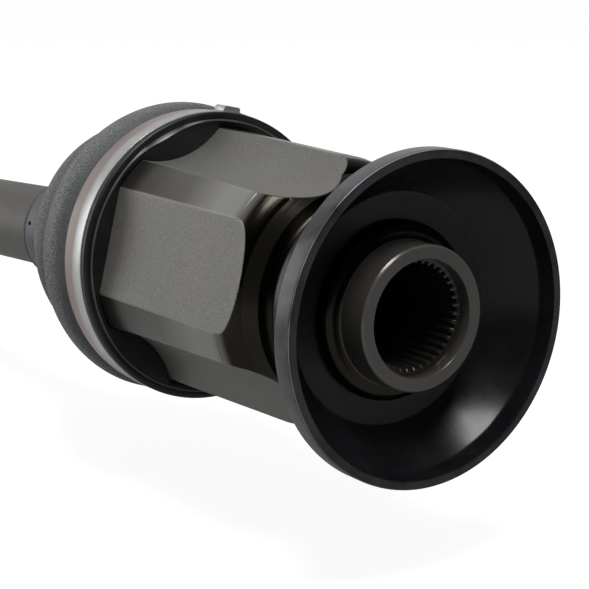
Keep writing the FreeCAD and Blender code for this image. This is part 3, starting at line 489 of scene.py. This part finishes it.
# Specks of bloom all over, painted denser on the fold crests as a painted highlight
bloom_share_and_crest_highlight = spread(tree, mark_in(tree, "crest"), 0.22, 1.0)
bloom_and_crest_highlight = maths(tree, "MULTIPLY", dust.outputs["Result"], bloom_share_and_crest_highlight)
color = mixed(tree, patch, (0.062, 0.066, 0.068), (0.080, 0.084, 0.086))
color = mixed(tree, bloom_and_crest_highlight, color, (0.40, 0.41, 0.41))
finish(tree, shader, color, spread(tree, patch, 0.50, 0.62), speck, 0.00005)
for piece in (wide_length, middle_length, small_length):
    hang(piece, inner_share)
    piece.data.materials.append(grey_rubber)
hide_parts("inner_boot_cuff", "inner_boot_fold_1")
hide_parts("inner_boot_fold_2")
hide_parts("inner_boot_collar")
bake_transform(wide_length)
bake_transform(middle_length)
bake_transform(small_length)


# Small clamps. Narrow steel strips with a grey coat that hold each boot's collar on the bar,
# with a punched slot where the strip hooks into itself. The slot is sunk into the strip and
# painted near black, a painted shade standing in for its depth.
SLOT_TURN, SLOT_HALF_TURN, SLOT_DEPTH = 15, 1.9, 0.6
SLOT_START, SLOT_END = 4.8, 7.1
STRIP_INSIDE, STRIP_OUTSIDE = 19.05, 19.95


def small_clamp(name, start, end):
    """A narrow strip round the drooped bar, with the slot sunk into it."""
    punched = np.where(np.abs(np.degrees(AROUND) - SLOT_TURN) < SLOT_HALF_TURN, 1.0, 0.0)
    floor = STRIP_OUTSIDE - SLOT_DEPTH * punched
    rings = [(start, STRIP_INSIDE), (start, STRIP_OUTSIDE - 0.15), (start + 0.2, STRIP_OUTSIDE)]
    rings += [(start + SLOT_START - 0.1, STRIP_OUTSIDE), (start + SLOT_START, floor)]
    rings += [(start + SLOT_END, floor), (start + SLOT_END + 0.1, STRIP_OUTSIDE)]
    rings += [(end - 0.2, STRIP_OUTSIDE), (end, STRIP_OUTSIDE - 0.15), (end, STRIP_INSIDE)]
    marks = {"slot": [0.0] * 4 + [punched] * 2 + [0.0] * 4}
    band = turn_piece(name, rings, marks, sharp=40)
    hang(band, lambda x: 1.0)
    return band


inner_small = small_clamp("inner_small_clamp_band", 215.3, 225.1)
outer_small = small_clamp("outer_small_clamp_band", 348.9, 358.7)
coated_strip, tree, shader, speck, patch = start_material("grey_coated_strip", 0.3, 1800, 80)
color = mixed(tree, patch, (0.085, 0.082, 0.090), (0.125, 0.120, 0.130))
# Painted shade in the slot
color = mixed(tree, mark_in(tree, "slot"), color, (0.004, 0.004, 0.004))
finish(tree, shader, color, spread(tree, patch, 0.40, 0.50), speck, 0.00001)
for band, node in ((inner_small, "inner_small_clamp"), (outer_small, "outer_small_clamp")):
    band.data.materials.append(coated_strip)
    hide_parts(node)
    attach(band, "axle")


# Axle bar and bearings. The bar is solid steel with a thin grey coat, splined at both ends and
# necked beside the joints. The bearings inside the boots are ground steel, and the rings that
# hold them are blackened spring steel.
coated_bar, tree, shader, speck, patch = start_material("grey_coated_bar", 0.2, 2000, 50)
color = mixed(tree, speck, (0.068, 0.064, 0.056), (0.130, 0.124, 0.110))
finish(tree, shader, color, spread(tree, patch, 0.42, 0.52), speck, 0.00002)
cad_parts["axle_bar"].material_slots[0].material = coated_bar
ground, tree, shader, speck, patch = start_material("ground_bearing_steel", 1.0, 3000, 120)
color = mixed(tree, patch, (0.52, 0.51, 0.50), (0.62, 0.61, 0.60))
finish(tree, shader, color, spread(tree, patch, 0.16, 0.24), speck, 0.000003)
for node in ("tripod_spider", "needle_bearings", "tripod_roller_1", "tripod_roller_2",
             "tripod_roller_3", "inner_race", "ball_cage", "joint_balls"):
    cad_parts[node].material_slots[0].material = ground
spring, tree, shader, speck, patch = start_material("blackened_spring_steel", 0.7, 3000, 120)
color = mixed(tree, patch, (0.045, 0.045, 0.048), (0.075, 0.075, 0.080))
finish(tree, shader, color, spread(tree, patch, 0.34, 0.46), speck, 0.000004)
for node in ("roller_keepers", "spider_circlip", "race_circlip", "roller_stop_ring",
             "bore_plug"):
    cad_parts[node].material_slots[0].material = spring


# Outer race. A forged bell for the ball joint, turned on its outside, with the splined and
# threaded stub that drives the wheel hub. Ball grooves run round the inside of its bell.
BALL_CENTRE, MOUTH, BALL_ROOM = 450.0, 433.0, 34.7
GROOVE_CENTRE, GROOVE_RADIUS = 32.0, 11.0
STUB_TIP, STUB_TOOTH, STUB_TEETH = 15.6, 1.4, 30
THREAD_RADIUS, THREAD_PITCH, THREAD_DEPTH = 12.0, 1.5, 0.62
RACE_AROUND = np.radians(np.arange(0, 360, 0.75))
off_ball = np.radians((np.degrees(RACE_AROUND) - 90 + 30) % 60 - 30)


def groove_radius(ahead):
    """Outside of the six swept ball grooves at a distance along the axis, or 0 between them."""
    inside = np.full(len(off_ball), 24.0)
    outside = np.full(len(off_ball), 48.0)

    def depth(radius):
        along_groove = np.sqrt((radius * np.cos(off_ball)) ** 2 + ahead ** 2)
        sideways = radius * np.sin(off_ball)
        return (along_groove - GROOVE_CENTRE) ** 2 + sideways ** 2 - GROOVE_RADIUS ** 2

    held = depth(inside + 4.0) < 0
    inside = np.where(held, inside + 4.0, inside)
    for _ in range(24):
        middle = (inside + outside) / 2
        within = depth(middle) < 0
        inside = np.where(within, middle, inside)
        outside = np.where(within, outside, middle)
    return np.where(held, inside, 0.0)


stub_half = 180 / STUB_TEETH
stub_tooth = np.abs((np.degrees(RACE_AROUND) % (2 * stub_half)) - stub_half) / stub_half
stub_spline = STUB_TIP - STUB_TOOTH * np.clip((stub_tooth - 0.42) * 5, 0, 1)
seat = BALL_CENTRE + 46
race_rings = [(MOUTH, 37.6), (MOUTH, 48.4), (MOUTH + 0.6, 49), (MOUTH + 10.6, 49)]
race_rings += [(MOUTH + 11.2, 48.6), (462, 48.4), (467, 47.4), (473, 43.9), (480, 38.3)]
race_rings += [(486, 33.6), (489, 31.6), (490.5, 31), (seat - 0.5, 31), (seat, 30.5)]
race_rings += [(seat, 17.6), (seat + 0.5, 17), (seat + 8.6, 17), (seat + 9, 16.6)]
race_rings += [(seat + 9, stub_spline - 0.6), (seat + 9.6, stub_spline), (seat + 42, stub_spline)]
race_rings += [(seat + 43.4, np.minimum(stub_spline + 0.6, STUB_TIP)), (seat + 44.4, STUB_TIP)]
race_rings += [(seat + 45, 15.0), (seat + 45, 10.6), (seat + 48, 10.6), (seat + 48, 11.2)]
thread_start, thread_end = seat + 48.4, seat + 68.4
for x in np.arange(thread_start, thread_end, 0.3):
    turn_share = (x / THREAD_PITCH - RACE_AROUND / (2 * math.pi)) % 1
    fade = min(1, (x - thread_start) / 1.2, (thread_end - x) / 1.2)
    cut_in = THREAD_DEPTH * fade * np.abs(2 * turn_share - 1)
    race_rings.append((x, THREAD_RADIUS - cut_in - 0.5 * (1 - fade)))
race_rings += [(seat + 69, 10.9), (seat + 70, 10.2), (seat + 70, 0.4)]
race_rings.append((BALL_CENTRE + BALL_ROOM, 0.4))
for ahead in np.arange(BALL_ROOM - 0.3, -14.1, -1.4):
    ball_room = math.sqrt(max(BALL_ROOM ** 2 - ahead ** 2, 0.2))
    grooved = groove_radius(ahead) if ahead < 24 else np.zeros(len(off_ball))
    race_rings.append((BALL_CENTRE + ahead, np.maximum(grooved, ball_room)))
outer_race = turn_piece("outer_race_forging", race_rings, around=RACE_AROUND, sharp=32)
hub_side, tree, shader, speck, patch = start_material("turned_race_steel", 0.8, 2600, 60)
lathe_node = tree.nodes.new("ShaderNodeGroup")
lathe_node.node_tree = lathe
color = mixed(tree, patch, (0.17, 0.165, 0.155), (0.26, 0.255, 0.24))
finish(tree, shader, color, spread(tree, patch, 0.30, 0.42), lathe_node.outputs["Height"], 0.00002)
outer_race.data.materials.append(hub_side)
hang(outer_race, lambda x: 1.0)
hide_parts("outer_race")
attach(outer_race, "outer_joint")


# Outer boot. The same grey rubber with three deeper folds, since this joint steers the wheel.
# Its wide cuff is strapped on the race and its collar on the bar.
outer_line = smooth_line([
    (347.0, 19.5, 0), (347.2, 19.8, 0), (348.0, 20.0, 0), (348.5, 19.8, 0), (348.8, 19.0, 0),
    (354, 19.0, 0), (358.9, 19.0, 0), (359.2, 19.8, 0), (359.8, 20, 0), (368, 20.1, 0),
    (372, 21.0, 0), (375.5, 25.0, 0), (378.5, 30.3, 0.2), (381, 34.2, 0.8), (383, 35.2, 1),
    (385.5, 34.4, 0.5), (389, 32.2, 0), (392, 32.0, 0), (395, 34.5, 0), (398.5, 40.5, 0.3),
    (401, 43.2, 1), (403.5, 42.8, 0.6), (407, 40.6, 0), (410.5, 40.2, 0), (413.5, 42.6, 0),
    (417, 47.3, 0.4), (420, 49.3, 1), (423, 49.0, 0.6), (427, 47.2, 0), (430.2, 46.9, 0),
    (431.5, 48.6, 0), (432.4, 51.0, 0), (434, 51.4, 0), (438, 51.4, 0), (442.4, 51.4, 0),
    (443.0, 50.9, 0)], 4)
outer_cuts = (403.0, 410.0, 417.0)
outer_names = ("outer_boot_small_end", "outer_boot_fold_near_bar", "outer_boot_fold_middle",
               "outer_boot_wide_end")
outer_nodes = (("outer_boot_collar",), ("outer_boot_fold_2",), (),
               ("outer_boot_fold_1", "outer_boot_cuff"))
ends = (300, *outer_cuts, 500)
for index, name in enumerate(outer_names):
    stretch = [p for p in outer_line if ends[index] - 0.5 <= p[0] <= ends[index + 1] + 0.5]
    length = boot_length(name, stretch, floor=16.05)
    hang(length, lambda x: 1.0)
    length.data.materials.append(grey_rubber)
    if outer_nodes[index]:
        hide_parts(*outer_nodes[index])
    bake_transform(length)

outer_band_rings = [(433.4, 51.5), (433.4, 52.2), (433.7, 52.4), (442.1, 52.4), (442.4, 52.2)]
outer_band_rings += [(442.4, 51.5)]
outer_band = turn_piece("outer_wide_clamp_band", outer_band_rings, {"rear": [0.0] * 6}, sharp=40)
hang(outer_band, lambda x: 1.0)
outer_band.data.materials.append(bright)
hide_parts("outer_large_clamp")
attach(outer_band, "outer_joint")


# Studio. A pale floor under the shaft, a white surround, a lamp overhead and a weaker one
# behind on the left. Floor and surround look white, and are darker towards the bell's side
# where steel mirrors them. The camera stands before the bell, a little above it.
FLOOR = -0.082


def backdrop_strength(tree, place, stretch, mirrored, plain, shown):
    """Strength of a backdrop: plain as light, shown to the camera and through clear pieces, and
    in reflections raised by a value that runs between two along a stretch of X."""
    where = tree.nodes.new("ShaderNodeTexCoord")
    apart = node_in(tree, "SeparateXYZ", Vector=where.outputs[place])
    along_x = node_in(tree, "MapRange", Value=apart.outputs["X"], From_Min=stretch[0],
                      From_Max=stretch[1], To_Min=mirrored[0], To_Max=mirrored[1])
    rays = tree.nodes.new("ShaderNodeLightPath")
    seen = maths(tree, "MAXIMUM", rays.outputs["Is Camera Ray"], rays.outputs["Is Transmission Ray"])
    strength = tree.nodes.new("ShaderNodeMath")
    strength.operation = "MULTIPLY_ADD"
    tree.links.new(rays.outputs["Is Glossy Ray"], strength.inputs[0])
    tree.links.new(along_x.outputs["Result"], strength.inputs[1])
    tree.links.new(spread(tree, seen, plain, shown), strength.inputs[2])
    return strength.outputs[0]


floor_mesh = bpy.data.meshes.new("floor")
floor_mesh.from_pydata([(-4, -4, FLOOR), (4, -4, FLOOR), (4, 4, FLOOR), (-4, 4, FLOOR)], [],
                       [(0, 1, 2, 3)])
floor = bpy.data.objects.new("floor", floor_mesh)
bpy.context.scene.collection.objects.link(floor)
pale = bpy.data.materials.new("pale_floor")
pale.use_nodes = True
tree = pale.node_tree
tree.nodes.remove(tree.nodes["Principled BSDF"])
matt = node_in(tree, "BsdfDiffuse", Color=(0.42, 0.42, 0.42, 1))
strength = backdrop_strength(tree, "Object", (-0.2, 0.6), (0.0, 0.38), 0.0, 0.86)
glow = node_in(tree, "Emission", Strength=strength)
both = tree.nodes.new("ShaderNodeAddShader")
tree.links.new(matt.outputs[0], both.inputs[0])
tree.links.new(glow.outputs[0], both.inputs[1])
tree.links.new(both.outputs[0], tree.nodes["Material Output"].inputs["Surface"])
floor_mesh.materials.append(pale)

world = bpy.data.worlds.new("studio")
world.use_nodes = True
bpy.context.scene.world = world
tree = world.node_tree
surround = tree.nodes["Background"]
surround.inputs["Color"].default_value = (1, 1, 1, 1)
strength = backdrop_strength(tree, "Generated", (-0.4, 0.7), (-0.28, 0.30), 0.30, 1.0)
tree.links.new(strength, surround.inputs["Strength"])


def area_lamp(name, place, aim, size, power):
    lamp = bpy.data.lights.new(name, "AREA")
    lamp.shape = "RECTANGLE"
    lamp.size, lamp.size_y = size
    lamp.energy = power
    holder = bpy.data.objects.new(name, lamp)
    holder.location = place
    holder.rotation_euler = (Vector(aim) - Vector(place)).to_track_quat("-Z", "Y").to_euler()
    bpy.context.scene.collection.objects.link(holder)


area_lamp("overhead_lamp", (-0.38, 0.22, 1.06), (0.05, 0, 0), (0.45, 0.45), 9)
area_lamp("rear_left_lamp", (1.2, 0.9, 0.25), (0.08, 0, 0), (0.9, 0.7), 3)

eye = Vector((-0.3761, 0.3003, 0.1104))
across = Vector((-0.5616, -0.8274, 0)).normalized()
ahead = Vector((0.8090, -0.5491, -0.2099)).normalized()
upward = across.cross(ahead)
camera = bpy.data.objects.new("camera", bpy.data.cameras.new("camera"))
camera.matrix_world = Matrix.Translation(eye) @ Matrix((across, upward, -ahead)).transposed(
    ).to_4x4()
camera.data.sensor_width = 36
camera.data.lens = 103.9
camera.data.clip_start = 0.01
bpy.context.scene.collection.objects.link(camera)
bpy.context.scene.camera = camera
bpy.context.scene.view_settings.view_transform = "Standard"
